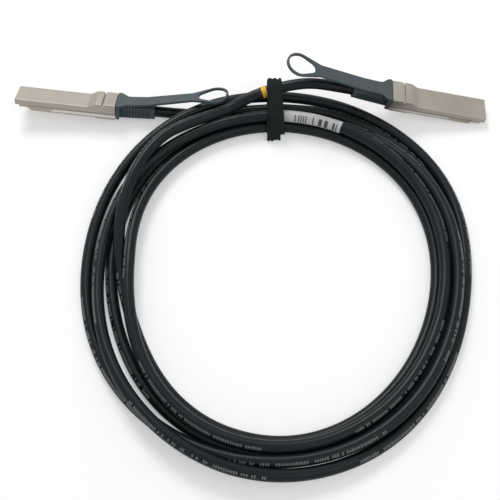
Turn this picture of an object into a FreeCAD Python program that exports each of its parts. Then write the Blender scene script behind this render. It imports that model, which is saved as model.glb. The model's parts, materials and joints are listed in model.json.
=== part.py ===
import FreeCAD, Part
import math
import os

import Sketcher
from FreeCAD import Placement, Rotation, Vector

# A passive copper cable assembly: two die-cast plugs with pull-tab releases, joined by one
# round cable that lies in a tied coil. Millimetres; +Z up from the surface it lies on, the
# origin under the cable tie, the coil towards -Y and the plugs towards -X and +X.

SIZES = {
    # plug, in its own frame: X forward from the rear face, Z = 0 on the parting plane
    "bodyWidth": 18.35,
    "bodyHeight": 8.5,
    "noseLength": 72.4,
    "humpLength": 14.4,
    "slopeLength": 5.6,
    "humpRise": 3.1,
    "flangeDrop": 0.6,
    "grooveStart": 8.2,
    "grooveWidth": 1.4,
    "grooveDepth": 1.6,
    "seamHeight": 0.5,
    "seamDepth": 0.3,
    "notchStart": 18.0,
    "notchPitch": 19.0,
    "notchLength": 1.8,
    "notchDepth": 0.8,
    "notchHeight": 0.8,
    "chinSetback": 9.0,
    "chinChamfer": 2.4,
    "cheekSetback": 3.0,
    "cheekDrop": 1.6,
    "edgeRound": 0.5,
    "overshoot": 1.0,
    "roofThick": 1.05,
    "sideWall": 2.3,
    "rearWall": 2.5,
    "neckWidth": 7.6,
    "neckStart": 12.6,
    # card, chip and contact pads
    "cardMargin": 1.275,
    "cardThick": 1.0,
    "cardStart": 18.0,
    "cardSetback": 2.2,
    "slotGap": 0.05,
    "padCount": 19,
    "padEdge": 0.45,
    "padWidth": 0.5,
    "padLength": 2.4,
    "padThick": 0.08,
    "chipSize": 3.0,
    "chipThick": 0.9,
    "chipStart": 30.0,
    # release slider and its springs
    "armReach": 46.0,
    "armHeight": 2.1,
    "armThick": 0.75,
    "armTop": -1.0,
    "armGap": 0.1,
    "hookLength": 1.8,
    "hookDepth": 0.45,
    "bridgeGap": 0.7,
    "bridgeLength": 2.0,
    "bridgeBase": 6.3,
    "releaseTravel": 3.0,
    "springStart": 3.0,
    "springSolid": 5.2,
    "springWidth": 1.8,
    "springWire": 0.34,
    "springTurns": 5,
    "fingerThick": 0.8,
    "fingerDepth": 1.9,
    # pull tab
    "tabBase": 5.8,
    "tabThick": 1.7,
    "rootLength": 3.3,
    "skirtThick": 1.0,
    "shoulderLength": 4.6,
    "shoulderRound": 4.0,
    "strapWidth": 11.4,
    "strapEndWidth": 9.6,
    "strapLength": 58.0,
    "firstBendAt": 10.0,
    "secondBendAt": 22.0,
    "ringRadius": 9.7,
    "ringReach": 14.2,
    "ringFlare": 16.0,
    "ringBand": 1.5,
    "eyeNeck": 5.0,
    "eyeLength": 7.3,
    "skirtProud": 0.35,
    "tabGap": 0.5,
    "riseA": 13.5,
    "riseB": 10.0,
    # boot, ferrule, screws
    "bootLength": 28.5,
    "bootWidth": 15.6,
    "bootHeight": 9.8,
    "bootCorner": 3.0,
    "bootEnd": 10.4,
    "ribCore": 4.9,
    "ribGap": 0.8,
    "ribPitch": 2.0,
    "ribCount": 11,
    "ribStart": 4.2,
    "collarLength": 3.0,
    "collarWidth": 11.4,
    "ferruleWall": 0.65,
    "ferruleLength": 6.0,
    "screwSpread": 5.7,
    "screwAt": 15.4,
    "screwRadius": 0.8,
    "screwHead": 1.45,
    "screwHeadThick": 0.8,
    "screwLength": 5.4,
    "screwSlotWidth": 0.4,
    "screwSlotDepth": 0.3,
    # cable, coil, tie, markers
    "cableDiameter": 8.0,
    "cableRaise": 0.6,
    "cableGap": 0.05,
    "leadStraight": 9.0,
    "wireRadius": 0.62,
    "wirePitch": 1.75,
    "wireFan": 1.5,
    "wireLanding": 2.5,
    "coilRadius": 133.0,
    "coilStretch": 9.5,
    "bundleWidth": 35.0,
    "bundleAtTie": 33.0,
    "coilHeight": 17.0,
    "coilBevel": 4.0,
    "coilShift": 1.0,
    "tieWidth": 9.6,
    "tieThick": 1.2,
    "tieCrownY": 7.0,
    "tieCrownTop": 29.6,
    "tieTail": 20.0,
    "tailTop": 13.0,
    "tailBend": 7.2,
    "waistGap": 0.2,
    "bandWidth": 4.2,
    "bandWall": 0.4,
    "bandGap": 0.15,
    "bandSetback": 2.0,
    "labelLength": 44.0,
    "labelWidth": 7.0,
    "labelThick": 0.25,
    "labelX": 6.0,
    "labelY": -9.0,
    "labelTurn": -13.0,
    # how each plug lies: rear face centre, heading, nose down, roll
    "plugAX": -116.0,
    "plugAY": 2.0,
    "plugAYaw": 176.0,
    "plugAPitch": -5.0,
    "plugARoll": 20.0,
    "plugBX": 85.0,
    "plugBY": 6.0,
    "plugBYaw": -3.5,
    "plugBPitch": 11.0,
    "plugBRoll": 0.0,
    "restGap": 0.2,
}

# the cable's hand-laid routes, from beyond each boot to the coil
ROUTE_A = [(-56.0, -1.8, 4.8)]
ROUTE_B = [(26.0, 9.9, 27.8), (5.0, 8.0, 24.8), (-16.0, 2.5, 21.6), (-35.0, -6.0, 15.0)]

doc = FreeCAD.newDocument("cable_assembly")
sheet = doc.addObject("Spreadsheet::Sheet", "Sizes")
for row, (alias, value) in enumerate(SIZES.items(), 1):
    sheet.set(f"A{row}", alias)
    sheet.set(f"B{row}", str(value))
    sheet.setAlias(f"B{row}", alias)
doc.recompute()

nodes = []


def size(expression):
    return float(sheet.evalExpression(expression))


def full(expression):
    """Write each alias in an expression with its sheet's name."""
    words, word = [], ""
    for letter in expression + " ":
        if letter.isalnum():
            word += letter
            continue
        words.append("Sizes." + word if word in SIZES else word)
        words.append(letter)
        word = ""
    return "".join(words).strip()


def keep(shape_object, label):
    shape_object.Label = label
    nodes.append(shape_object)
    return shape_object


def new_body(label):
    return keep(doc.addObject("PartDesign::Body", "Body_" + label), label)


def plane(body, role):
    return next(o for o in body.Origin.OriginFeatures if o.Role == role)


def sketch_on(body, role, offset=Placement()):
    sketch = body.newObject("Sketcher::SketchObject", "Sketch")
    sketch.AttachmentSupport = [(plane(body, role), "")]
    sketch.MapMode = "FlatFace"
    sketch.AttachmentOffset = offset
    return sketch


def bind(thing, **expressions):
    for name, expression in expressions.items():
        thing.setExpression(name.replace("_", "."), full(expression))


def add_polygon(sketch, points):
    """A closed outline whose corners are pairs of expressions."""
    corners = [Vector(size(x), size(y), 0) for x, y in points]
    first = sketch.GeometryCount
    count = len(points)
    for i in range(count):
        sketch.addGeometry(Part.LineSegment(corners[i], corners[(i + 1) % count]))
    for i in range(count):
        after = first + (i + 1) % count
        sketch.addConstraint(Sketcher.Constraint("Coincident", first + i, 2, after, 1))
    for i, (x, y) in enumerate(points):
        for kind, expression in (("DistanceX", x), ("DistanceY", y)):
            rule = Sketcher.Constraint(kind, -1, 1, first + i, 1, size(expression))
            number = sketch.addConstraint(rule)
            sketch.setExpression(f"Constraints[{number}]", full(expression))


def add_circle(sketch, radius, x="0", y="0"):
    centre = Vector(size(x), size(y), 0)
    circle = sketch.addGeometry(Part.Circle(centre, Vector(0, 0, 1), size(radius)))
    marks = [
        ("DistanceX", (-1, 1, circle, 3), x),
        ("DistanceY", (-1, 1, circle, 3), y),
        ("Radius", (circle,), radius),
    ]
    for kind, where, expression in marks:
        number = sketch.addConstraint(Sketcher.Constraint(kind, *where, size(expression)))
        sketch.setExpression(f"Constraints[{number}]", full(expression))


def add_belt(sketch, near, near_radius, far, far_radius):
    """Two circles on the sketch's X axis, the far one at the lower X, joined by their tangents."""
    ends = [(size(near), size(near_radius)), (size(far), size(far_radius))]
    lean = math.acos((ends[1][1] - ends[0][1]) / (ends[0][0] - ends[1][0]))
    first = sketch.GeometryCount
    for (x, r), start, stop in zip(ends, (-lean, lean), (lean, 2 * math.pi - lean)):
        circle = Part.Circle(Vector(x, 0, 0), Vector(0, 0, 1), r)
        sketch.addGeometry(Part.ArcOfCircle(circle, start, stop))
        sign = 1 if start < 0 else -1
        touches = [Vector(c + q * math.cos(lean), sign * q * math.sin(lean), 0) for c, q in ends[::sign]]
        sketch.addGeometry(Part.LineSegment(*touches))
    for k in range(4):
        sketch.addConstraint(Sketcher.Constraint("Tangent", first + k, 2, first + (k + 1) % 4, 1))
    for arc, x, radius in ((first, near, near_radius), (first + 2, far, far_radius)):
        marks = [
            ("DistanceX", (-1, 1, arc, 3), x),
            ("DistanceY", (-1, 1, arc, 3), "0"),
            ("Radius", (arc,), radius),
        ]
        for kind, where, expression in marks:
            number = sketch.addConstraint(Sketcher.Constraint(kind, *where, size(expression)))
            sketch.setExpression(f"Constraints[{number}]", full(expression))


def add_oval(sketch, radius, stretch, x, y):
    """Two half circles about (x, y), joined by straight sides along the sketch's Y."""
    cx, cy, r, half = size(x), size(y), size(radius), size(stretch)
    first = sketch.GeometryCount
    for sign in (1, -1):
        circle = Part.Circle(Vector(cx, cy + sign * half, 0), Vector(0, 0, 1), r)
        begin = 0 if sign > 0 else math.pi
        sketch.addGeometry(Part.ArcOfCircle(circle, begin, begin + math.pi))
        side = cx - sign * r
        start, end = Vector(side, cy + sign * half, 0), Vector(side, cy - sign * half, 0)
        sketch.addGeometry(Part.LineSegment(start, end))
    for k in range(4):
        sketch.addConstraint(Sketcher.Constraint("Tangent", first + k, 2, first + (k + 1) % 4, 1))
    for line in (first + 1, first + 3):
        sketch.addConstraint(Sketcher.Constraint("Vertical", line))
    marks = [
        ("DistanceX", (-1, 1, first, 3), x),
        ("DistanceY", (-1, 1, first, 3), f"{y} + ({stretch})"),
        ("DistanceY", (-1, 1, first + 2, 3), f"{y} - ({stretch})"),
        ("Radius", (first,), radius),
    ]
    for kind, where, expression in marks:
        number = sketch.addConstraint(Sketcher.Constraint(kind, *where, size(expression)))
        sketch.setExpression(f"Constraints[{number}]", full(expression))


def add_feature(body, kind, sketch, length=None, symmetric=False, reverse=False):
    feature = body.newObject("PartDesign::" + kind, kind)
    feature.Profile = sketch
    feature.Reversed = reverse
    if symmetric:
        feature.SideType = "Symmetric"
    if length:
        bind(feature, Length=length)
    doc.recompute()
    return feature


def block(body, kind, start, lengths):
    """A box feature of a body, by its low corner and its three lengths."""
    box = body.newObject(f"PartDesign::{kind}Box", "Block")
    for axis, expression in zip("xyz", start):
        box.setExpression(f"Placement.Base.{axis}", full(expression))
    for name, expression in zip(("Length", "Width", "Height"), lengths):
        box.setExpression(name, full(expression))
    return box


def mirrored(body, features):
    copy = body.newObject("PartDesign::Mirrored", "Mirrored")
    copy.Originals = features
    copy.MirrorPlane = (plane(body, "XZ_Plane"), [""])
    body.Tip = copy
    doc.recompute()
    return copy


def fillet(body, radius, wanted, kind="Fillet"):
    """Round or bevel the edges of the body's tip whose middle and direction pass the test."""
    tip = body.Tip
    names = []
    for number, edge in enumerate(tip.Shape.Edges, 1):
        if edge.Length < 0.2:
            continue
        first, last = edge.ParameterRange
        if wanted(edge.valueAt((first + last) / 2), edge.tangentAt((first + last) / 2)):
            names.append(f"Edge{number}")
    rounding = body.newObject("PartDesign::" + kind, kind)
    rounding.Base = (tip, names)
    bind(rounding, **{"Radius" if kind == "Fillet" else "Size": radius})
    doc.recompute()
    return rounding


# how a plug lies: its frame, raised until the lowest corner of its shells clears the floor

def plug_frame(side):
    turn = Rotation(size(f"plug{side}Yaw"), size(f"plug{side}Pitch"), size(f"plug{side}Roll"))
    half, low = size("bodyWidth / 2"), size("-bodyHeight / 2")
    corners = [(size("noseLength - chinSetback"), low), (0, low - size("flangeDrop"))]
    corners += [(size("noseLength"), 0), (size("humpLength"), low - size("flangeDrop"))]
    heights = [turn.multVec(Vector(x, y, z)).z for x, z in corners for y in (-half, half)]
    base = Vector(size(f"plug{side}X"), size(f"plug{side}Y"), size("restGap") - min(heights))
    return Placement(base, turn)


def screw_holes(body, radius, start, depth):
    for y in ("screwSpread", "-screwSpread"):
        hole = body.newObject("PartDesign::SubtractiveCylinder", "ScrewHole")
        for axis, expression in zip("xyz", ("screwAt", y, start)):
            hole.setExpression(f"Placement.Base.{axis}", full(expression))
        bind(hole, Radius=radius, Height=depth)


def upper_shell(side):
    body = new_body(f"upper_shell_{side}")
    profile = sketch_on(body, "XZ_Plane")
    add_polygon(profile, [
        ("0", "0"),
        ("0", "bodyHeight / 2 + humpRise"),
        ("humpLength", "bodyHeight / 2 + humpRise"),
        ("humpLength + slopeLength", "bodyHeight / 2"),
        ("noseLength", "bodyHeight / 2"),
        ("noseLength", "0"),
        ("noseLength - cheekSetback", "0"),
        ("noseLength - cheekSetback", "-cheekDrop"),
        ("noseLength - chinSetback", "-cheekDrop"),
        ("noseLength - chinSetback", "0"),
    ])
    add_feature(body, "Pad", profile, "bodyWidth", symmetric=True)
    groove = block(body, "Subtractive",
                   ("grooveStart", "-bodyWidth", "bodyHeight / 2 + humpRise - grooveDepth"),
                   ("grooveWidth", "2 * bodyWidth", "2 * grooveDepth"))
    body.Tip = groove
    doc.recompute()
    half, top = size("bodyWidth / 2"), size("bodyHeight / 2") - 0.01
    fillet(body, "edgeRound", lambda p, d: abs(abs(p.y) - half) < 0.01 and p.z > top and abs(d.z) < 0.9)
    hollow(body, up=True)
    screw_holes(body, "screwRadius + slotGap", "-slotGap", "screwLength - bodyHeight / 2 + 3 * slotGap")
    doc.recompute()
    return body


def lower_shell(side):
    body = new_body(f"lower_shell_{side}")
    profile = sketch_on(body, "XZ_Plane")
    add_polygon(profile, [
        ("0", "0"),
        ("noseLength - chinSetback", "0"),
        ("noseLength - chinSetback", "chinChamfer - bodyHeight / 2"),
        ("noseLength - chinSetback - chinChamfer", "-bodyHeight / 2"),
        ("humpLength", "-bodyHeight / 2"),
        ("humpLength", "-bodyHeight / 2 - flangeDrop"),
        ("0", "-bodyHeight / 2 - flangeDrop"),
    ])
    add_feature(body, "Pad", profile, "bodyWidth", symmetric=True)
    half, bottom = size("bodyWidth / 2"), size("-bodyHeight / 2") + 0.01
    fillet(body, "edgeRound", lambda p, d: abs(abs(p.y) - half) < 0.01 and p.z < bottom and abs(d.z) < 0.5)
    hollow(body, up=False)
    channel = block(body, "Subtractive",
                    ("-overshoot", "bodyWidth / 2 - armThick - armGap", "armTop - armHeight - armGap"),
                    ("armReach + armGap + overshoot", "bodyWidth", "armHeight + 2 * armGap"))
    pocket = block(body, "Subtractive",
                   ("springStart", "bodyWidth / 2 - armThick - fingerDepth - armGap",
                    "armTop - armHeight - armGap"),
                   ("springSolid + releaseTravel + fingerThick + 3 * armGap", "bodyWidth",
                    "armHeight + 2 * armGap"))
    seam = block(body, "Subtractive", ("-overshoot", "bodyWidth / 2 - seamDepth", "-seamHeight"),
                 ("noseLength", "bodyWidth", "seamHeight + overshoot"))
    edge = "-bodyHeight / 2 - overshoot"
    notches = []
    for place in ("notchStart", "notchStart + notchPitch"):
        notches.append(block(body, "Subtractive", (place, "bodyWidth / 2 - notchDepth", edge),
                             ("notchLength", "bodyWidth", "overshoot + notchHeight")))
    body.Tip = notches[-1]
    mirrored(body, [channel, pocket, seam] + notches)
    screw_holes(body, "screwRadius + slotGap", "-bodyHeight", "2 * bodyHeight")
    screw_holes(body, "screwHead + slotGap", "-bodyHeight", "bodyHeight / 2 + screwHeadThick")
    doc.recompute()
    return body


def hollow(body, up):
    """The room for card, wires and ferrule, cut from the parting plane into one shell."""
    main = "bodyHeight / 2 - roofThick"
    ferrule = "cableDiameter / 2 + cableGap + ferruleWall + slotGap"
    den = f"{ferrule} + cableRaise" if up else f"{ferrule} - cableRaise"
    slot = "cardThick / 2 + padThick + slotGap"
    rooms = [
        ("rearWall", "neckStart", f"2 * ({ferrule})", den),
        ("neckStart - overshoot", "cardStart + overshoot", "neckWidth", main),
        ("cardStart", "noseLength + overshoot", "bodyWidth - 2 * sideWall", main),
        ("cardStart - slotGap", "noseLength + overshoot", "bodyWidth - 2 * cardMargin + 2 * slotGap", slot),
    ]
    for start, end, width, depth in rooms:
        low = "-cheekDrop - overshoot" if up else f"-({depth})"
        rise = f"{depth} + overshoot" + (" + cheekDrop" if up else "")
        block(body, "Subtractive", (start, f"-({width}) / 2", low), (f"{end} - ({start})", width, rise))
    bore = body.newObject("PartDesign::SubtractiveCylinder", "CableBore")
    bore.Placement = Placement(Vector(-size("overshoot"), 0, 0), Rotation(Vector(0, 1, 0), 90))
    bore.setExpression("Placement.Base.z", full("cableRaise"))
    bind(bore, Radius="cableDiameter / 2 + cableGap", Height="rearWall + 2 * overshoot")
    doc.recompute()


def paddle_card(side):
    body = new_body(f"paddle_card_{side}")
    card = block(body, "Additive", ("cardStart", "cardMargin - bodyWidth / 2", "-cardThick / 2"),
                 ("noseLength - cardSetback - cardStart", "bodyWidth - 2 * cardMargin", "cardThick"))
    body.Tip = card
    doc.recompute()
    front = size("noseLength - cardSetback")
    fillet(body, "cardThick / 4", lambda p, d: abs(p.x - front) < 0.01 and abs(d.y) > 0.9)
    return body


def contact_pads(side):
    body = new_body(f"contact_pads_{side}")
    body.AllowCompound = True
    row_length = "(bodyWidth - 2 * cardMargin - 2 * padEdge - padWidth)"
    rows = []
    for low in ("cardThick / 2", "-cardThick / 2 - padThick"):
        rows.append(block(body, "Additive",
                          ("noseLength - cardSetback - 2 * padWidth - padLength",
                           f"-{row_length} / 2 - padWidth / 2", low),
                          ("padLength", "padWidth", "padThick")))
    doc.recompute()
    pattern = body.newObject("PartDesign::LinearPattern", "Pads")
    pattern.Originals = rows
    pattern.Direction = (plane(body, "Y_Axis"), [""])
    bind(pattern, Length=row_length, Occurrences="padCount")
    body.Tip = pattern
    doc.recompute()
    return body


def memory_chip(side):
    chip = keep(doc.addObject("Part::Box", "Chip"), f"memory_chip_{side}")
    bind(chip, Length="chipSize", Width="chipSize", Height="chipThick")
    chip.Placement.Base = Vector(size("chipStart"), -size("chipSize") / 2, size("cardThick / 2"))
    return chip


def release_slider(side):
    body = new_body(f"release_slider_{side}")
    rear, bottom = "-bridgeGap - bridgeLength", "armTop - armHeight"
    inner = "bodyWidth / 2 - armThick"
    block(body, "Additive", (rear, "-bodyWidth / 2", "bridgeBase"),
          ("bridgeLength", "bodyWidth", "armThick"))
    riser = block(body, "Additive", (rear, inner, bottom),
                  ("bridgeLength", "armThick", f"bridgeBase + armThick - ({bottom})"))
    arm = block(body, "Additive", (rear, inner, bottom), (f"armReach - ({rear})", "armThick", "armHeight"))
    seat = "springStart + springSolid + releaseTravel + 2 * armGap"
    finger = block(body, "Additive", (seat, f"{inner} - fingerDepth", bottom),
                   ("fingerThick", "fingerDepth + armThick / 2", "armHeight"))
    ramp = sketch_on(body, "XY_Plane", Placement(Vector(0, 0, size(bottom)), Rotation()))
    add_polygon(ramp, [
        ("armReach - hookLength", "bodyWidth / 2 - armThick / 2"),
        ("armReach", "bodyWidth / 2 - armThick / 2"),
        ("armReach", "bodyWidth / 2 + hookDepth"),
        ("armReach - hookLength / 3", "bodyWidth / 2 + hookDepth"),
        ("armReach - hookLength", "bodyWidth / 2"),
    ])
    hook = add_feature(body, "Pad", ramp, "armHeight")
    mirrored(body, [riser, arm, finger, hook])
    return body


def pull_tab(side, slider):
    rise = f"rise{side.upper()}"
    body = doc.addObject("PartDesign::Body", f"TabBody_{side}")
    climb = f"(secondBendAt - firstBendAt) * tan({rise} / 2)"
    high = f"{climb} + (strapLength - secondBendAt) * tan({rise})"
    profile = sketch_on(body, "XZ_Plane")
    add_polygon(profile, [
        ("-tabGap", "tabBase"),
        ("-tabGap", "tabBase + tabThick"),
        ("-firstBendAt", "tabBase + tabThick"),
        ("-secondBendAt", f"tabBase + tabThick + {climb}"),
        ("-strapLength", f"tabBase + tabThick + {high}"),
        ("-strapLength", f"tabBase + {high}"),
        ("-secondBendAt", f"tabBase + {climb}"),
        ("-firstBendAt", "tabBase"),
    ])
    add_feature(body, "Pad", profile, "bodyWidth + 2 * skirtProud", symmetric=True)
    plan = sketch_on(body, "XY_Plane")
    front, back = "2 * overshoot", "-strapLength - 2 * overshoot"
    add_polygon(plan, [(front, "-bodyWidth"), (front, "bodyWidth"),
                       (back, "bodyWidth"), (back, "-bodyWidth")])
    half = "bodyWidth / 2 + skirtProud"
    outline = [("overshoot", half), ("-rootLength", half),
               ("-rootLength - shoulderLength", "strapWidth / 2"),
               ("-strapLength - overshoot", "strapEndWidth / 2")]
    add_polygon(plan, outline + [(x, f"-({y})") for x, y in reversed(outline)])
    waste = add_feature(body, "Pocket", plan, "4 * bodyWidth", reverse=True)
    body.Tip = waste
    shoulders = [size("rootLength"), size("rootLength + shoulderLength")]
    fillet(body, "shoulderRound",
           lambda p, d: abs(d.z) > 0.9 and min(abs(-p.x - s) for s in shoulders) < 0.05)
    hem = "armTop - armHeight - 3 * armGap"
    skirt = block(body, "Additive", ("-rootLength", "bodyWidth / 2 - skirtThick", hem),
                  ("rootLength - tabGap", "skirtThick + skirtProud", f"tabBase + tabThick / 2 - ({hem})"))
    mirrored(body, [skirt])
    length = f"(strapLength - secondBendAt) / cos({rise}) + ringReach"
    lift = f"tabBase + tabThick / 2 + {climb}"
    tilted = Placement(Vector(-size("secondBendAt"), 0, size(lift)), Rotation(Vector(0, 1, 0), size(rise)))
    rim = sketch_on(body, "XY_Plane", tilted)
    add_belt(rim, f"ringFlare - ({length})", "strapEndWidth / 2", f"-({length})", "ringRadius")
    add_belt(rim, f"eyeLength - ({length})", "eyeNeck", f"-({length})", "ringRadius - ringBand")
    add_feature(body, "Pad", rim, "tabThick", symmetric=True)
    tab = keep(doc.addObject("Part::Cut", "OverMould"), f"pull_tab_{side}")
    tab.Base, tab.Tool = body, slider
    return body


def compound(label, shapes):
    feature = keep(doc.addObject("Part::Feature", "Group_" + label), label)
    feature.Shape = Part.makeCompound(shapes)
    return feature


def return_springs(side):
    """Two square-wire springs, each between its pocket's rear wall and the slider's finger."""
    half, radius = size("springWire / 2"), size("springWidth / 2 - springWire / 2")
    free = size("springSolid + releaseTravel - springWire")
    helix = Part.makeHelix(free / size("springTurns"), free, radius)
    corners = [Vector(radius + i * half, 0, k * half) for i, k in ((-1, -1), (1, -1), (1, 1), (-1, 1))]
    coil = helix.makePipeShell([Part.makePolygon(corners + corners[:1])], True, True)
    springs = []
    for sign in (1, -1):
        middle = sign * size("bodyWidth / 2 - armThick - fingerDepth / 2")
        rear = size("springStart + armGap + springWire / 2")
        spring = coil.copy()
        spring.Placement = Placement(Vector(rear, middle, size("armTop - armHeight / 2")),
                                     Rotation(Vector(0, 1, 0), 90))
        springs.append(spring)
    return compound(f"return_springs_{side}", springs)


def strain_boot(side):
    body = new_body(f"strain_boot_{side}")
    bottom = Placement(Vector(0, 0, size("cableRaise - bootHeight / 2")), Rotation())
    plan = sketch_on(body, "XY_Plane", bottom)
    outline = [("0", "bootWidth / 2"), ("collarLength - bootLength", "bootEnd / 2")]
    add_polygon(plan, outline + [(x, f"-({y})") for x, y in reversed(outline)])
    add_feature(body, "Pad", plan, "bootHeight")
    fillet(body, "bootCorner", lambda p, d: abs(d.x) > 0.9)
    collar = sketch_on(body, "YZ_Plane", Placement(Vector(0, 0, -size("bootLength")), Rotation()))
    add_circle(collar, "collarWidth / 2", "0", "cableRaise")
    add_feature(body, "Pad", collar, "collarLength")
    slits = []
    for low in ("ribCore", "-ribCore - bootWidth"):
        slits.append(block(body, "Subtractive", ("-ribStart - ribGap", low, "-bootWidth"),
                           ("ribGap", "bootWidth", "2 * bootWidth")))
    body.Tip = slits[-1]
    doc.recompute()
    ribs = body.newObject("PartDesign::LinearPattern", "Ribs")
    ribs.Originals, ribs.Direction = slits, (plane(body, "X_Axis"), [""])
    ribs.Reversed = True
    bind(ribs, Length="ribPitch * (ribCount - 1)", Occurrences="ribCount")
    body.Tip = ribs
    doc.recompute()
    passage = sketch_on(body, "YZ_Plane")
    add_circle(passage, "cableDiameter / 2 + cableGap", "0", "cableRaise")
    add_feature(body, "Pocket", passage, "4 * bootLength", symmetric=True)
    return body


def ferrule(side):
    body = new_body(f"crimp_ferrule_{side}")
    start = size("rearWall + slotGap")
    section = sketch_on(body, "YZ_Plane", Placement(Vector(0, 0, start), Rotation()))
    add_circle(section, "cableDiameter / 2 + cableGap + ferruleWall", "0", "cableRaise")
    add_circle(section, "cableDiameter / 2 + cableGap", "0", "cableRaise")
    add_feature(body, "Pad", section, "ferruleLength")
    return body


def inner_wires(side):
    """Eight screened wires that fan out from the jacket's end onto both faces of the card."""
    start, end = size("rearWall + ferruleLength + wireRadius"), size("cardStart + wireLanding")
    radius = size("wireRadius")
    wires = []
    for face in (1, -1):
        for lane in (-1.5, -0.5, 0.5, 1.5):
            across = lane * size("wirePitch")
            first = Vector(start, across, face * size("wireFan") + size("cableRaise") / 2)
            last = Vector(end, across, face * (size("cardThick / 2") + radius))
            wires.append(Part.makeCylinder(radius, (last - first).Length, first, last - first))
    return compound(f"inner_wires_{side}", wires)


def shell_screws(side):
    """Two cap screws that hold the lower shell to the upper one, heads flush underneath."""
    screws = []
    at, low = size("screwAt"), -size("bodyHeight / 2")
    head_radius, width = size("screwHead"), size("screwSlotWidth")
    for y in (size("screwSpread"), -size("screwSpread")):
        head = Part.makeCylinder(head_radius, size("screwHeadThick"), Vector(at, y, low))
        shank = Part.makeCylinder(size("screwRadius"), size("screwLength"), Vector(at, y, low))
        slot = Part.makeBox(2 * head_radius, width, size("screwSlotDepth"),
                            Vector(at - head_radius, y - width / 2, low))
        screws.append(head.fuse(shank).cut(slot).removeSplitter())
    return compound(f"shell_screws_{side}", screws)


def cable_path(points):
    """Straight runs joined by tangent arcs, each as large as its two runs allow."""
    edges, radii, here = [], [], points[0]
    for before, corner, after in zip(points, points[1:], points[2:]):
        back, ahead = before - corner, after - corner
        reach = 0.45 * min(back.Length, ahead.Length)
        turn = math.pi - back.getAngle(ahead)
        first = corner + back.normalize() * reach
        last = corner + ahead.normalize() * reach
        radius = reach / math.tan(turn / 2)
        inward = (first + last) * 0.5 - corner
        middle = corner + inward.normalize() * (radius / math.cos(turn / 2) - radius)
        edges += [Part.LineSegment(here, first).toShape(), Part.Arc(first, middle, last).toShape()]
        radii.append(round(radius))
        here = last
    edges.append(Part.LineSegment(here, points[-1]).toShape())
    return Part.Wire(edges), radii


def cable_lead(side, route, coil):
    frame = plug_frame(side.upper())
    raised = size("cableRaise")
    inside = Vector(size("rearWall + ferruleLength + slotGap"), 0, raised)
    outside = Vector(-size("bootLength + leadStraight"), 0, raised)
    points = [frame.multVec(inside), frame.multVec(outside)] + [Vector(*p) for p in route]
    path, radii = cable_path(points)
    radius = size("cableDiameter / 2")
    section = Part.Wire(Part.Circle(points[0], points[1] - points[0], radius).toShape())
    tube = path.makePipeShell([section], True, False)
    expected = math.pi * radius ** 2 * path.Length
    print(f"lead {side}: length {path.Length:.1f}, radii {radii}, volume {tube.Volume / expected:.4f}")
    lead = keep(doc.addObject("Part::Feature", "Lead_" + side), f"cable_lead_{side}")
    lead.Shape = tube.cut(coil.Shape)
    return path


def cable_coil():
    """The outer shape of the tied coil, pinched where the tie goes round it."""
    body = new_body("cable_coil")
    ring = sketch_on(body, "XY_Plane")
    middle = "-(coilRadius + coilStretch - bundleAtTie / 2)"
    add_oval(ring, "coilRadius", "coilStretch", "coilShift", middle)
    add_oval(ring, "coilRadius - bundleWidth", "coilStretch + bundleWidth - bundleAtTie",
             "coilShift", middle)
    add_feature(body, "Pad", ring, "coilHeight")
    fillet(body, "coilBevel", lambda p, d: abs(d.z) < 0.5, kind="Chamfer")
    skin, width = "tieThick + waistGap", "tieWidth + 2 * waistGap"
    edge, across, tall = f"bundleAtTie / 2 - ({skin})", "bundleAtTie", "coilHeight + 2 * overshoot"
    for y, z, lengths in (
        ("-bundleAtTie / 2", f"-({skin})", (across, f"2 * ({skin})")),
        ("-bundleAtTie / 2", f"coilHeight - ({skin})", (across, f"2 * ({skin})")),
        (f"-bundleAtTie - ({edge})", "-overshoot", (across, tall)),
        (edge, "-overshoot", (across, tall)),
    ):
        block(body, "Subtractive", (f"-({width}) / 2", y, z), (width,) + lengths)
    doc.recompute()
    return body


def cable_tie():
    """A hook-and-loop strap round the bundle, with its tail down the inner side."""
    half, low, top = size("bundleAtTie / 2 - tieThick"), size("tieThick"), size("coilHeight")
    crown, crown_top, thick = size("tieCrownY"), size("tieCrownTop"), size("tieThick")
    radius = size("cableDiameter / 2")
    around = [(-half, low), (half, low), (half, top), (crown + 1.5 * radius, crown_top - 1.1 * radius),
              (crown + 0.75 * radius, crown_top), (crown - 0.75 * radius, crown_top), (-half, top)]
    inner = Part.makePolygon([Vector(0, y, z) for y, z in around + around[:1]])
    outer = Part.Face(inner).makeOffset2D(thick)
    loop = Part.Face([outer.Wires[0], inner])
    near, far, rest = -half - thick, -size("tieTail"), size("restGap")
    tail = [(near, size("tailTop")), (near, size("tailBend")), (far + thick, rest), (far, rest),
            (near - thick, size("tailBend")), (near - thick, size("tailTop"))]
    flap = Part.Face(Part.makePolygon([Vector(0, y, z) for y, z in tail + tail[:1]]))
    across = Vector(size("tieWidth"), 0, 0)
    strap = loop.extrude(across).fuse(flap.extrude(across)).removeSplitter()
    strap.translate(across * -0.5)
    tie = keep(doc.addObject("Part::Feature", "Tie"), "cable_tie")
    tie.Shape = strap.Solids[0]
    return tie


def marker_band(path):
    """A colour ring round the upper lead, beside the tie."""
    stop = -size("tieWidth / 2 + waistGap + bandSetback")
    run = [p for p in path.discretize(Distance=0.5) if p.x < stop]
    start = run[0]
    along = (run[int(2 * size("bandWidth"))] - start).normalize()
    inner = size("cableDiameter / 2 + bandGap")
    ring = Part.makeCylinder(inner + size("bandWall"), size("bandWidth"), start, along)
    ring = ring.cut(Part.makeCylinder(inner, size("bandWidth"), start, along))
    band = keep(doc.addObject("Part::Feature", "Band"), "marker_band")
    band.Shape = ring
    return band


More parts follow.
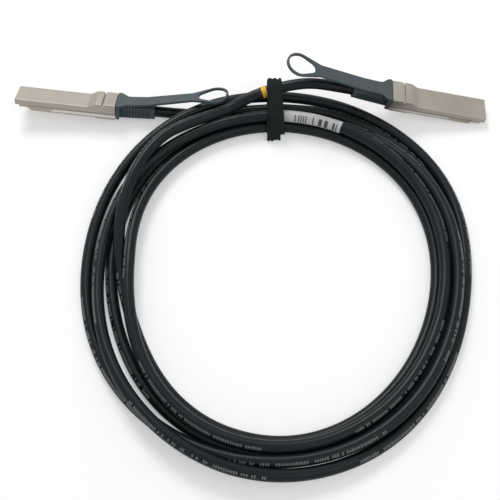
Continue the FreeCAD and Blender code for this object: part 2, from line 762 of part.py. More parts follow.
def cable_label():
    label = keep(doc.addObject("Part::Box", "LabelStrip"), "cable_label")
    bind(label, Length="labelLength", Width="labelWidth", Height="labelThick")
    label.Placement = Placement(Vector(size("labelX"), size("labelY"), size("coilHeight")),
                                Rotation(Vector(0, 0, 1), size("labelTurn")))
    return label


def plug(side):
    slider = release_slider(side)
    pieces = [upper_shell(side), lower_shell(side), paddle_card(side), contact_pads(side),
              memory_chip(side), slider, pull_tab(side, slider), return_springs(side),
              strain_boot(side), ferrule(side), inner_wires(side), shell_screws(side)]
    frame = plug_frame(side.upper())
    for piece in pieces:
        piece.Placement = frame.multiply(piece.Placement)


for side in ("a", "b"):
    plug(side)
coil = cable_coil()
cable_lead("a", ROUTE_A, coil)
upper_path = cable_lead("b", ROUTE_B, coil)
cable_tie()
marker_band(upper_path)
cable_label()
doc.recompute()

for thing in doc.Objects:
    if {"Invalid", "Error"} & set(thing.State):
        raise RuntimeError(f"{thing.Label}: {thing.State}")
for node in nodes:
    if node.Shape.isNull() or not node.Shape.isValid() or not node.Shape.Solids:
        raise RuntimeError(f"{node.Label}: bad shape")

os.makedirs("parts", exist_ok=True)
for node in nodes:
    node.Shape.exportStep(f"parts/{node.Label}.step")
    box = node.Shape.BoundBox
    print(f"{node.Label}: {len(node.Shape.Solids)} solids, {node.Shape.Volume:.0f} mm3,",
          f"x {box.XMin:.1f} {box.XMax:.1f} y {box.YMin:.1f} {box.YMax:.1f}",
          f"z {box.ZMin:.2f} {box.ZMax:.1f}")
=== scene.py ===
import json
import math

import bpy
import numpy as np
from mathutils import Matrix, Vector


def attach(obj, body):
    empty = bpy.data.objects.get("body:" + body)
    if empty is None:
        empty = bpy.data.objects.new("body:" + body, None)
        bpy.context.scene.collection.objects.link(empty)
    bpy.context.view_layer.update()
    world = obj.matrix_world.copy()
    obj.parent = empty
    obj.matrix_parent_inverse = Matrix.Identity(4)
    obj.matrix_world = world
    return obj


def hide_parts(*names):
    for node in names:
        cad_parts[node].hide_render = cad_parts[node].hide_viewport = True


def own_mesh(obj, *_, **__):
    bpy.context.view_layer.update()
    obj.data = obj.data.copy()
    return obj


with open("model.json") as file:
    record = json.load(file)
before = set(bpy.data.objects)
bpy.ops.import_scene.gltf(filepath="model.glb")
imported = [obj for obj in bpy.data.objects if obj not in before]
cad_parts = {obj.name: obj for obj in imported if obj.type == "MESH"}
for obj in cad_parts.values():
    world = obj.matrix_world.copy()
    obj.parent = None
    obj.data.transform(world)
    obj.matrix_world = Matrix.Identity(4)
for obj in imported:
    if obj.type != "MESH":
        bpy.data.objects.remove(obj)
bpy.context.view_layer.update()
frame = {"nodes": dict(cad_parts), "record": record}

mm = 0.001  # every length below is in millimetres until it reaches Blender
record = frame["record"]
nodes = frame["nodes"]


class Socket:  # a shader output that can be added, subtracted, multiplied and compared
    def __init__(self, net, out):
        self.net, self.out = net, out

    def math(self, operation, a, b=None):
        values = {0: a} if b is None else {0: a, 1: b}
        return self.net.add("ShaderNodeMath", {"operation": operation}, values)

    def __add__(self, other):
        return self.math("ADD", self, other)

    def __sub__(self, other):
        return self.math("SUBTRACT", self, other)

    def __mul__(self, other):
        return self.math("MULTIPLY", self, other)

    def __gt__(self, other):
        return self.math("GREATER_THAN", self, other)

    def __lt__(self, other):
        return self.math("LESS_THAN", self, other)

    __radd__ = __add__
    __rmul__ = __mul__

    def cut(self):
        return self.math("FRACT", self)

    def size(self):
        return self.math("ABSOLUTE", self)


class Net:  # a material's node tree
    def __init__(self, name, **surface):
        self.material = bpy.data.materials.new(name)
        self.material.use_nodes = True
        self.tree = self.material.node_tree
        self.shader = self.tree.nodes["Principled BSDF"]
        for socket, value in surface.items():
            self.shader.inputs[socket.replace("_", " ")].default_value = value

    def add(self, kind, settings=None, inputs=None, output=0):
        node = self.tree.nodes.new(kind)
        for name, value in (settings or {}).items():
            if name == "stops":
                self.setStops(node.color_ramp, value)
            else:
                setattr(node, name, value)
        for name, value in (inputs or {}).items():
            if isinstance(value, Socket):
                self.tree.links.new(value.out, node.inputs[name])
            else:
                node.inputs[name].default_value = value
        return Socket(self, node.outputs[output])

    def setStops(self, ramp, stops):
        while len(ramp.elements) < len(stops):
            ramp.elements.new(0.5)
        for element, (place, colour) in zip(ramp.elements, stops):
            element.position, element.color = place, colour

    def place(self, scale, stretch=(1, 1, 1)):
        coords = self.add("ShaderNodeTexCoord", output="Object")
        factors = tuple(scale * s for s in stretch)
        return self.add("ShaderNodeMapping", None, {"Vector": coords, "Scale": factors})

    def noise(self, vector, detail=4.0, roughness=0.55):
        values = {"Vector": vector, "Scale": 1.0, "Detail": detail, "Roughness": roughness}
        return self.add("ShaderNodeTexNoise", None, values)

    def ramp(self, factor, *stops):
        # a single number is a grey
        shades = [(place, (*colour, 1) if isinstance(colour, tuple) else (colour,) * 3 + (1,))
                  for place, colour in stops]
        return self.add("ShaderNodeValToRGB", {"stops": shades}, {"Fac": factor})

    def mix(self, factor, a, b):
        # in a mix node the colours go in at inputs 6 and 7 and come out at output 2
        node = self.tree.nodes.new("ShaderNodeMix")
        node.data_type = "RGBA"
        for index, value in ((0, factor), (6, a), (7, b)):
            if isinstance(value, Socket):
                self.tree.links.new(value.out, node.inputs[index])
            else:
                node.inputs[index].default_value = (*value, 1) if isinstance(value, tuple) else value
        return Socket(self, node.outputs[2])

    def attribute(self, name):
        return self.add("ShaderNodeAttribute", {"attribute_name": name}, output="Fac")

    def give(self, socket, value):
        self.tree.links.new(value.out, self.shader.inputs[socket])

    def bump(self, height, strength, distance):
        values = {"Height": height, "Strength": strength, "Distance": distance * mm}
        self.give("Normal", self.add("ShaderNodeBump", None, values, "Normal"))


def nickelPlate():
    net = Net("nickel plate on die-cast zinc", Metallic=1.0)
    grain = net.noise(net.place(260), detail=6)
    cloud = net.noise(net.place(55), detail=3)
    wear = net.noise(net.place(110, stretch=(1, 1, 0.4)), detail=8, roughness=0.7)
    tint = net.ramp(cloud, (0.3, (0.325, 0.295, 0.255)), (0.72, (0.375, 0.338, 0.295)))
    worn = net.ramp(wear, (0.60, 0.0), (0.72, 0.5))
    net.give("Base Color", net.mix(worn, tint, (0.305, 0.28, 0.247)))
    net.give("Roughness", 0.36 + 0.10 * cloud + 0.06 * grain)
    net.bump(net.noise(net.place(900), detail=3), 0.10, 0.05)
    return net.material


def springSteel():
    net = Net("stamped spring steel", Metallic=1.0)
    brush = net.noise(net.place(90, stretch=(0.25, 14, 14)), detail=5)
    net.give("Base Color", net.ramp(brush, (0.3, (0.47, 0.45, 0.42)), (0.7, (0.60, 0.575, 0.54))))
    net.give("Roughness", 0.26 + 0.16 * brush)
    net.bump(brush, 0.08, 0.04)
    return net.material


def slateRubber():
    net = Net("slate moulded rubber", Specular_IOR_Level=0.42)
    cloud = net.noise(net.place(70), detail=4)
    spark = net.noise(net.place(1500), detail=2)
    net.give("Base Color", net.ramp(cloud, (0.3, (0.046, 0.063, 0.071)), (0.7, (0.060, 0.079, 0.087))))
    net.give("Roughness", 0.56 + 0.14 * spark)
    net.bump(spark, 0.16, 0.06)
    return net.material


def cableJacket(look):
    net = Net("satin cable jacket", Specular_IOR_Level=0.17)
    along, around = net.attribute("along"), net.attribute("around")
    cloud = net.noise(net.place(45), detail=4)
    scuff = net.noise(net.place(160, stretch=(1, 1, 2)), detail=7, roughness=0.7)
    black = net.ramp(cloud, (0.3, (0.0045, 0.0075, 0.0090)), (0.75, (0.0085, 0.0120, 0.0138)))
    dull = net.ramp(scuff, (0.58, 0.0), (0.74, 0.35))
    base = net.mix(dull, black, (0.016, 0.021, 0.023))
    cell = along * (1 / look["markPitch"])
    column = net.add("ShaderNodeTexWhiteNoise", {"noise_dimensions": "1D"},
                     {"W": cell.math("FLOOR", cell)}, "Value")
    stroke = (cell.cut() < 0.62) * (column > 0.22)
    group = (along * (1 / look["markEvery"])).cut() < look["markRun"] / look["markEvery"]
    band = ((around - look["markSide"]).size() < look["markTall"] * (0.6 + 0.4 * column)) * 1.0
    marks = stroke * group * band * 0.55
    net.give("Base Color", net.mix(marks, base, (0.30, 0.31, 0.31)))
    net.give("Roughness", 0.26 + 0.12 * scuff)
    net.bump(net.noise(net.place(500), detail=3), 0.05, 0.06)
    return net.material


def hookAndLoop():
    net = Net("hook and loop tape", Roughness=0.95, Specular_IOR_Level=0.2)
    fuzz = net.noise(net.place(1400), detail=5, roughness=0.7)
    net.give("Base Color", net.ramp(fuzz, (0.3, (0.006, 0.011, 0.011)), (0.75, (0.022, 0.032, 0.031))))
    net.bump(fuzz, 0.55, 0.25)
    return net.material


def markerTape(edge):
    net = Net("yellow marker tape", Roughness=0.45)
    cloud = net.noise(net.place(300), detail=3)
    yellow = net.ramp(cloud, (0.3, (0.70, 0.39, 0.008)), (0.7, (0.78, 0.46, 0.014)))
    net.give("Base Color", net.mix(net.attribute("along") < edge, yellow, (0.060, 0.004, 0.003)))
    net.bump(cloud, 0.08, 0.05)
    return net.material


def labelFilm(look):
    net = Net("label film", Roughness=0.42)
    along, around = net.attribute("along"), net.attribute("around")
    cell = along * (1 / look["barPitch"])
    shade = net.add("ShaderNodeTexWhiteNoise", {"noise_dimensions": "1D"},
                    {"W": cell.math("FLOOR", cell)}, "Value")
    inside = (along > look["barStart"]) * (along < look["barEnd"])
    strip = (around - look["barSide"]).size() < look["barTall"]
    bars = (shade > 0.5) * inside * strip
    paper = net.ramp(net.noise(net.place(120), detail=3), (0.3, 0.47), (0.7, 0.56))
    net.give("Base Color", net.mix(bars, paper, (0.045, 0.045, 0.05)))
    return net.material


def goldPlate():
    net = Net("gold plate", Metallic=1.0)
    cloud = net.noise(net.place(700), detail=3)
    net.give("Base Color", net.ramp(cloud, (0.3, (0.80, 0.55, 0.20)), (0.7, (0.88, 0.66, 0.28))))
    net.give("Roughness", 0.22 + 0.12 * cloud)
    return net.material


def boardLaminate():
    net = Net("solder mask", Roughness=0.35)
    weave = net.noise(net.place(900, stretch=(1, 0.3, 1)), detail=2)
    net.give("Base Color", net.ramp(weave, (0.3, (0.010, 0.060, 0.026)), (0.7, (0.020, 0.095, 0.042))))
    net.bump(weave, 0.08, 0.03)
    return net.material


def chipEpoxy():
    net = Net("moulded epoxy", Roughness=0.6)
    speck = net.noise(net.place(1800), detail=2)
    net.give("Base Color", net.ramp(speck, (0.3, 0.016), (0.7, 0.030)))
    net.bump(speck, 0.12, 0.03)
    return net.material


def ferruleBrass():
    net = Net("turned brass", Metallic=1.0)
    rings = net.noise(net.place(300, stretch=(9, 0.4, 0.4)), detail=3)
    net.give("Base Color", net.ramp(rings, (0.3, (0.62, 0.47, 0.24)), (0.7, (0.72, 0.57, 0.31))))
    net.give("Roughness", 0.28 + 0.14 * rings)
    return net.material


def wireFilm():
    net = Net("screening film", Metallic=0.7)
    wrap = net.noise(net.place(400, stretch=(3, 1, 1)), detail=3)
    net.give("Base Color", net.ramp(wrap, (0.3, 0.42), (0.7, 0.60)))
    net.give("Roughness", 0.30 + 0.2 * wrap)
    return net.material


def plugFrame(side):
    # a plug's own frame: X towards its nose, the origin at its rear face, from the record's mount
    mount = next(m for m in record["mounts"] if m["name"] == "plug_" + side)
    forward = Vector(mount["axis"]).normalized()
    level = Vector((0, 0, 1)).cross(forward).normalized()
    turn = Matrix((forward, level, forward.cross(level))).transposed()
    turn = turn @ Matrix.Rotation(math.radians(plug["roll"][side]), 3, "X")
    rear = Vector(mount["pos_m"]) / mm - forward * plug["length"]
    return lambda x, y, z: rear + turn @ Vector((x, y, z))


def finishPiece(name, mesh, material, body, smooth=True):
    piece = bpy.data.objects.new(name, mesh)
    bpy.context.scene.collection.objects.link(piece)
    mesh.materials.clear()
    mesh.materials.append(material)
    mesh.polygons.foreach_set("use_smooth", [smooth] * len(mesh.polygons))
    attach(piece, body)
    return piece


def routeCurve(name, points):
    data = bpy.data.curves.new(name, "CURVE")
    data.dimensions = "3D"
    data.resolution_u = 8
    spline = data.splines.new("NURBS")
    spline.points.add(len(points) - 1)
    for control, point in zip(spline.points, points):
        control.co = (*[c * mm for c in point], 1)
    spline.order_u = 3
    spline.use_endpoint_u = True
    return data


def curvePoints(data):
    # the line that a curve really follows, in millimetres
    probe = bpy.data.objects.new("probe", data)
    bpy.context.scene.collection.objects.link(probe)
    mesh = bpy.data.meshes.new_from_object(probe.evaluated_get(bpy.context.evaluated_depsgraph_get()))
    line = np.array([v.co for v in mesh.vertices]) / mm
    bpy.data.objects.remove(probe)
    bpy.data.meshes.remove(mesh)
    return line


def spaced(line, step):
    run = np.r_[0, np.cumsum(np.linalg.norm(np.diff(line, axis=0), axis=1))]
    places = np.linspace(0, run[-1], max(2, round(run[-1] / step) + 1))
    return np.column_stack([np.interp(places, run, line[:, k]) for k in range(3)])


# where the camera stands and what it looks at
camera = {"at": (-17.4, -379.8, 502.4), "aim": (-17.4, -116.9, 8.0), "lens": 60.0, "sensor": 36.0}


def makeCamera():
    data = bpy.data.cameras.new("camera")
    data.lens, data.sensor_width = camera["lens"], camera["sensor"]
    holder = bpy.data.objects.new("camera", data)
    at, aim = Vector(camera["at"]) * mm, Vector(camera["aim"]) * mm
    holder.location = at
    holder.rotation_euler = (aim - at).to_track_quat("-Z", "Y").to_euler()
    data.clip_start, data.clip_end = 0.01, 20
    bpy.context.scene.collection.objects.link(holder)
    bpy.context.scene.camera = holder


makeCamera()
print("stage: camera")

# how the plugs hold the cable, and how the cable lies
plug = {
    "length": 72.4, "roll": {"a": 20.0, "b": 0.0},
    # the cable's height over the plug's middle, its depth in the plug, and its straight run behind
    "cableRaise": 0.6, "seat": 8.6, "straight": 37.5,
}
cable = {
    "diameter": 8.0,
    "centre": (1.0, -126.0),
    # the innermost and outermost strands' distances from the centre, every 30 degrees
    "inner": [116, 115.5, 112, 106, 106, 115.5, 126, 119, 100, 96.5, 107.5, 113.5],
    "outer": [137, 138, 138, 123, 125, 137, 138.5, 138, 133, 126, 131, 136],
    "routeA": [(-56.0, -1.8, 4.8), (-28.0, -1.4, 4.4)],
    "routeB": [(-35.0, -6.0, 15.0), (-16.0, 2.5, 21.6), (5.0, 8.0, 24.8), (26.0, 9.9, 27.8)],
    # each turn's place between those two, in sixths, clockwise from the tie
    "lanes": [
        [3.7, 4, 3.8, 3, 3, 3, 3, 2.6, 2.2, 2.2, 2.9, 2.6],
        [2, 2, 2.8, 4.4, 4.5, 4.5, 4.5, 5.2, 6, 6, 5.7, 5.9],
        [5.8, 6, 6, 6, 6, 6, 6, 4.9, 4.3, 4.1, 2, 1.1],
        [1.1, 1.4, 1.4, 1.5, 1.5, 1.5, 1.5, 1.5, 1.4, 0.6, 0, 0],
        [0, 0, 0, 0, 0, 0, 0, 0, 0, 0.3, 3, 4.1],
    ],
    # which turn lies over the others there, in diameters above the floor
    "layers": [
        [0, 0, 0, 0, 0, 0, 0, 0, 0, 0, 0, 0],
        [0, 0.2, 0.8, 0.9, 0.9, 0.9, 0.9, 0.5, 0, 0, 0.5, 1.7],
        [0.6, 0, 0, 0, 0, 0, 0.5, 1.8, 0.9, 0.3, 1.1, 0.95],
        [0.9, 0.85, 0.85, 0.9, 0.9, 0.9, 0.9, 0.9, 0.9, 1.0, 0.35, 0.1],
        [0, 0, 0, 0, 0, 0, 0, 0, 0, 0.2, 1.8, 1.6],
    ],
    "even": 16, "evenAgain": 8,  # passes that even out the lanes, then the radii
    "spacing": 4.5, "gap": 0.25,
    "settle": 44, "rounds": 8, "pushes": 3, "late": 0.75,
    "drop": 0.03, "lateDrop": 0.2, "hold": 0.04, "give": 0.9,
    "stiff": 5, "straighten": 0.3, "lateStraighten": 0.12,
    "tieLift": 1.5, "tieReach": 16, "tieBack": -60,  # how the tie raises the strands, and where
    "step": 2.5, "sides": 20, "near": 7.8,
    "look": {"markPitch": 1.5, "markEvery": 152.0, "markRun": 96.0,
             "markSide": -0.12, "markTall": 0.045},
}


def windCoil():
    # five turns laid out lane by lane, in fine steps
    lanes = np.array(cable["lanes"], float).ravel()
    layers = np.array(cable["layers"], float).ravel()
    stations, perTurn = np.arange(len(lanes)), len(cable["inner"])
    fine = np.arange(0, len(lanes) - 1 + 1e-9, 0.25)
    radius, layer = np.interp(fine, stations, lanes), np.interp(fine, stations, layers)
    for _ in range(cable["even"]):
        for values in (radius, layer):
            values[1:-1] = (values[:-2] + 2 * values[1:-1] + values[2:]) / 4
    angle = fine * math.tau / perTurn
    inner, outer = (np.interp(fine % perTurn, np.arange(perTurn + 1), cable[name] + cable[name][:1])
                    for name in ("inner", "outer"))
    radius = inner + (outer - inner) * radius / 6
    for _ in range(cable["evenAgain"]):
        radius[1:-1] = (radius[:-2] + 2 * radius[1:-1] + radius[2:]) / 4
    x = cable["centre"][0] + radius * np.sin(angle)
    y = cable["centre"][1] + radius * np.cos(angle)
    return np.column_stack([x, y, cable["diameter"] * (0.5 + layer)])


def settleCoil(line, held):
    # strands drop, push each other a diameter apart and straighten out, a little at a time
    apart = cable["diameter"] + cable["gap"]
    step = np.linalg.norm(np.diff(line, axis=0), axis=1).mean()
    index = np.arange(len(line))
    free = ~held
    goal = line.copy()
    for stage in range(cable["settle"]):
        reach = np.linalg.norm(line[:, None] - line[None], axis=2)
        further = index[None] - index[:, None] > 3 * apart / step
        first, second = np.nonzero((reach < 2 * apart) & further)
        late = stage > cable["settle"] * cable["late"]
        for _ in range(cable["rounds"]):
            line[free, 2] -= cable["drop"] * (cable["lateDrop"] if late else 1)
            line[free] += (0.0 if late else cable["hold"]) * (goal[free] - line[free])
            for _ in range(cable["pushes"]):
                gap = line[first] - line[second]
                far = np.maximum(np.linalg.norm(gap, axis=1), 1e-6)
                push = gap * (np.maximum(apart - far, 0) / far / 2)[:, None]
                touching = (far < apart).astype(float)
                share = sum(np.bincount(side, touching, len(line)) for side in (first, second))
                for k in range(3):
                    move = np.bincount(first, push[:, k] * (1 + held[second]), len(line))
                    move -= np.bincount(second, push[:, k] * (1 + held[first]), len(line))
                    line[free, k] += cable["give"] * (move / np.sqrt(np.maximum(share, 1)))[free]
                lift = cable["tieLift"] * np.exp(-(line[:, 0] / cable["tieReach"]) ** 2)
                rest = cable["diameter"] / 2 + lift * (line[:, 1] > cable["tieBack"])
                line[free, 2] = np.maximum(line[free, 2], rest[free])
            moved = line - goal
            bend = np.zeros_like(line)
            for far in (1, cable["stiff"]):
                bend[far:-far] += (moved[:-2 * far] + moved[2 * far:]) / 2 - moved[far:-far]
            line[free] += cable["lateStraighten" if late else "straighten"] * bend[free]
    line[free, 2] = np.maximum(line[free, 2], cable["diameter"] / 2)
    return line


def cableRoute():
    ends = {}
    for side in "ab":
        at = plugFrame(side)
        ends[side] = [at(along, 0, plug["cableRaise"]) for along in (plug["seat"], -plug["straight"])]
    leadA = [tuple(p) for p in ends["a"]] + cable["routeA"]
    leadB = cable["routeB"] + [tuple(p) for p in reversed(ends["b"])]
    rough = np.vstack([leadA, windCoil()[2:-1], leadB])
    line = spaced(curvePoints(routeCurve("rough", rough)), cable["spacing"])
    fromA = np.linalg.norm(line - np.array(leadA[2]), axis=1).argmin()
    fromB = np.linalg.norm(line - np.array(leadB[0]), axis=1).argmin()
    held = np.ones(len(line), bool)
    held[fromA:fromB] = False
    line = settleCoil(line, held)
    # the second point of route A only steered the rough line
    turns = line[fromA + 4:fromB - 3:3]
    return np.vstack([leadA[:3], turns, leadB])


def tubeTree():
    # a tube along a curve, with its length kept as an attribute; tubeMesh adds the way round
    tree = bpy.data.node_groups.new("tube along a route", "GeometryNodeTree")
    face = tree.interface
    face.new_socket("Route", in_out="INPUT", socket_type="NodeSocketGeometry")
    for name, kind in (("Radius", "Float"), ("Step", "Float"), ("Sides", "Int"), ("Finish", "Material")):
        face.new_socket(name, in_out="INPUT", socket_type="NodeSocket" + kind)
    face.new_socket("Tube", in_out="OUTPUT", socket_type="NodeSocketGeometry")
    new, link = tree.nodes.new, tree.links.new
    given, made = new("NodeGroupInput"), new("NodeGroupOutput")
    resample = new("GeometryNodeResampleCurve")
    resample.mode = "LENGTH"
    link(given.outputs["Route"], resample.inputs["Curve"])
    link(given.outputs["Step"], resample.inputs["Length"])
    along, run = new("GeometryNodeStoreNamedAttribute"), new("GeometryNodeSplineParameter")
    circle, sweep = new("GeometryNodeCurvePrimitiveCircle"), new("GeometryNodeCurveToMesh")
    along.inputs["Name"].default_value = "along"
    link(run.outputs["Length"], along.inputs["Value"])
    link(resample.outputs["Curve"], along.inputs["Geometry"])
    link(given.outputs["Radius"], circle.inputs["Radius"])
    link(given.outputs["Sides"], circle.inputs["Resolution"])
    link(along.outputs["Geometry"], sweep.inputs["Curve"])
    link(circle.outputs["Curve"], sweep.inputs["Profile Curve"])
    sweep.inputs["Fill Caps"].default_value = True
    realize, finish = new("GeometryNodeRealizeInstances"), new("GeometryNodeSetMaterial")
    link(sweep.outputs["Mesh"], realize.inputs["Geometry"])
    link(realize.outputs["Geometry"], finish.inputs["Geometry"])
    link(given.outputs["Finish"], finish.inputs["Material"])
    link(finish.outputs["Geometry"], made.inputs["Tube"])
    return tree


def runTree(tree, source, values):
    # the tree's result on an object, as a plain mesh
    holder = bpy.data.objects.new("holder", source)
    bpy.context.scene.collection.objects.link(holder)
    modifier = holder.modifiers.new("tree", "NODES")
    modifier.node_group = tree
    for item in tree.interface.items_tree:
        if item.in_out == "INPUT" and item.name in values:
            modifier[item.identifier] = values[item.name]
    graph = bpy.context.evaluated_depsgraph_get()
    mesh = bpy.data.meshes.new_from_object(holder.evaluated_get(graph), depsgraph=graph)
    holder.modifiers.remove(modifier)
    bpy.data.objects.remove(holder)
    return mesh


tubes = tubeTree()


def tubeMesh(line, radius, step, sides, material):
    data = bpy.data.curves.new("route", "CURVE")
    data.dimensions = "3D"
    spline = data.splines.new("POLY")
    spline.points.add(len(line) - 1)
    for control, point in zip(spline.points, line):
        control.co = (*[c * mm for c in point], 1)
    values = {"Radius": radius * mm, "Step": step * mm, "Sides": sides, "Finish": material}
    mesh = runTree(tubes, data, values)
    # the way round each ring: 0 on top, growing towards the coil's inside, the seam underneath
    rings = np.array([v.co for v in mesh.vertices]).reshape(-1, sides, 3)
    middle = rings.mean(1)
    sideways = np.cross(np.gradient(middle, axis=0), (0, 0, 1))
    sideways /= np.linalg.norm(sideways, axis=1)[:, None]
    out = rings - middle[:, None]
    turn = np.arctan2((out * sideways[:, None]).sum(2), out[:, :, 2]) / math.tau
    mesh.attributes.new("around", "FLOAT", "POINT").data.foreach_set("value", turn.ravel())
    return mesh


def makeCable():
    finish = cableJacket({name: value * (mm if name in ("markPitch", "markEvery", "markRun") else 1)
                          for name, value in cable["look"].items()})
    control = cableRoute()
    line = curvePoints(routeCurve("cable route", control))
    radius = cable["diameter"] / 2
    mesh = tubeMesh(line, radius, cable["step"], cable["sides"], finish)
    piece = finishPiece("cable", mesh, finish, "cable")
    path = spaced(line, cable["step"])
    length = np.linalg.norm(np.diff(path, axis=0), axis=1).sum()
    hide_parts("cable_coil", "cable_lead_a", "cable_lead_b")
    # the bend at each point, from the circle through it and the points four steps either way
    sides = [np.linalg.norm(path[a:b] - path[c:d], axis=1)
             for a, b, c, d in ((8, None, 4, -4), (4, -4, 0, -8), (8, None, 0, -8))]
    half = sum(sides) / 2
    area = np.sqrt(np.maximum(half * np.prod([half - side for side in sides], axis=0), 1e-9))
    bend = np.prod(sides, axis=0) / (4 * area)
    reach = np.linalg.norm(path[:, None] - path[None], axis=2)
    index = np.arange(len(path))
    near = np.where(index[None] - index[:, None] > 12, reach, 99)
    worst = bend.argmin()
    print(f"stage: cable, {length:.0f} mm, "
          f"tightest bend {bend.min():.0f} mm at {path[worst + 4].round()}, "
          f"closest strands {near.min():.2f} mm, under {cable['near']}: {(near < cable['near']).sum()}, "
          f"top {path[:, 2].max():.1f}")
    return piece, path, length


cablePiece, cablePath, cableLength = makeCable()


# the marker band and the label, each a thin sleeve on the cable
sleeves = {
    "band": {"from": -5.3, "long": 4.2, "proud": 0.35, "edge": 0.7},
    "label": {"near": (28.0, -10.5, 11.0), "back": 21.5, "long": 44.0, "proud": 0.22},
    "head": 60, "end": 90,  # how many points of the path the leads take up
    "sides": 32, "bandStep": 0.6, "labelStep": 1.2,
    "look": {"barPitch": 0.9, "barStart": 9.0, "barEnd": 43.0, "barSide": 0.165, "barTall": 0.115},
}


def stretchOf(path, start, long):
    # the part of the path that begins at a point and runs on for a length
    run = np.r_[0, np.cumsum(np.linalg.norm(np.diff(path, axis=0), axis=1))]
    places = run[start] + np.linspace(0, long, 24)
    return np.column_stack([np.interp(places, run, path[:, k]) for k in range(3)])


def sleeve(name, spot, start, step, material):
    line = stretchOf(cablePath, start, spot["long"])
    mesh = tubeMesh(line, cable["diameter"] / 2 + spot["proud"], step, sleeves["sides"], material)
    return finishPiece(name, mesh, material, "cable")


def makeSleeves():
    spot, tail = sleeves["band"], len(cablePath) - sleeves["end"]
    start = tail + int(np.abs(cablePath[tail:, 0] - (spot["from"] - spot["long"])).argmin())
    band = sleeve("band_sleeve", spot, start, sleeves["bandStep"], markerTape(spot["edge"] * mm))
    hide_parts("marker_band")
    # the label sits on the strand that passes closest to its place
    spot, head = sleeves["label"], sleeves["head"]
    gap = np.linalg.norm(cablePath[head:tail] - np.array(spot["near"]), axis=1)
    start = head + int(gap.argmin()) - round(spot["back"] / cable["step"])
    look = {name: value * (mm if name in ("barPitch", "barStart", "barEnd") else 1)
            for name, value in sleeves["look"].items()}
    label = sleeve("cable_label_sleeve", spot, start, sleeves["labelStep"], labelFilm(look))
    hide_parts("cable_label")
    print("stage: sleeves")
    return band, label


bandPiece, labelPiece = makeSleeves()

# the hook-and-loop tie; the sizes of its pile are in metres
tie = {
    "wide": 9.8, "thick": 1.1, "slack": 0.25, "between": 0.15, "back": -40,
    "tailFrom": 13.0, "tailOut": 22.6, "flapTo": 6.0, "flapSlide": 2.9, "flapLift": 0.5,
    "rough": 0.10, "fray": 1.0, "columns": 9, "step": 0.8, "even": 2, "seed": 7,
    "pile": {"Density": 2.2e6, "Fibre": 0.0007, "Thick": 0.00009, "Lean": 1.1, "Seed": 7},
}


def hullOf(points):
    # the convex outline of points in the YZ plane, counter-clockwise
    points = sorted(map(tuple, points))
    halves = []
    for ordered in (points, points[::-1]):
        side = []
        for p in ordered:
            while len(side) > 1 and ((side[-1][0] - side[-2][0]) * (p[1] - side[-2][1])
                                     - (side[-1][1] - side[-2][1]) * (p[0] - side[-2][0])) <= 0:
                side.pop()
            side.append(p)
        halves += side[:-1]
    return np.array(halves)


def tieProfile():
    # the strap's middle line: once round the strands under it, then over itself and down to a tail
    radius = cable["diameter"] / 2 + tie["slack"] + tie["thick"] / 2
    under = cablePath[(np.abs(cablePath[:, 0]) < tie["wide"] / 2) & (cablePath[:, 1] > tie["back"])]
    ring = np.linspace(0, math.tau, 24, endpoint=False)
    points = [(y + radius * math.cos(a), max(z + radius * math.sin(a), tie["thick"] / 2))
              for _, y, z in under for a in ring]
    loop = hullOf(points)
    loop = np.vstack([loop, loop[:1]])
    flat = spaced(np.column_stack([np.zeros(len(loop)), loop]), 1.0)[:-1, 1:]
    for _ in range(3):
        flat = (np.roll(flat, 1, 0) + 2 * flat + np.roll(flat, -1, 0)) / 4
    return flat


def strapMesh(line, slide, rng):
    # a woven strap along a line in the YZ plane, with uneven faces and ragged ends
    tangent = np.gradient(line, axis=0)
    tangent /= np.linalg.norm(tangent, axis=1)[:, None]
    normal = np.column_stack([tangent[:, 1], -tangent[:, 0]])
    half, count = tie["wide"] / 2, tie["columns"]
    across = np.linspace(-half, half, count)
    vertices, faces = [], []
    for k, (point, along, out) in enumerate(zip(line, tangent, normal)):
        ragged = rng.uniform(-1, 1, count) * (tie["fray"] if k in (0, len(line) - 1) else 0)
        bumps = rng.normal(0, tie["rough"], count)
        edges = np.zeros(count)
        edges[[0, -1]] = rng.normal(0, tie["rough"], 2)
        for side in (1, -1):
            for j in range(count)[::side]:
                y, z = point + along * ragged[j] + out * (side * tie["thick"] / 2 + bumps[j])
                vertices.append((slide[k] + across[j] + edges[j], y, max(z, 0.03)))
    ring = 2 * count
    for k in range(len(line) - 1):
        for j in range(ring):
            a, b = k * ring + j, k * ring + (j + 1) % ring
            faces.append((a, b, b + ring, a + ring))
    last = (len(line) - 1) * ring
    for j in range(count - 1):
        faces.append((j, ring - 1 - j, ring - 2 - j, j + 1))
        faces.append((last + j, last + j + 1, last + ring - 2 - j, last + ring - 1 - j))
    return vertices, faces


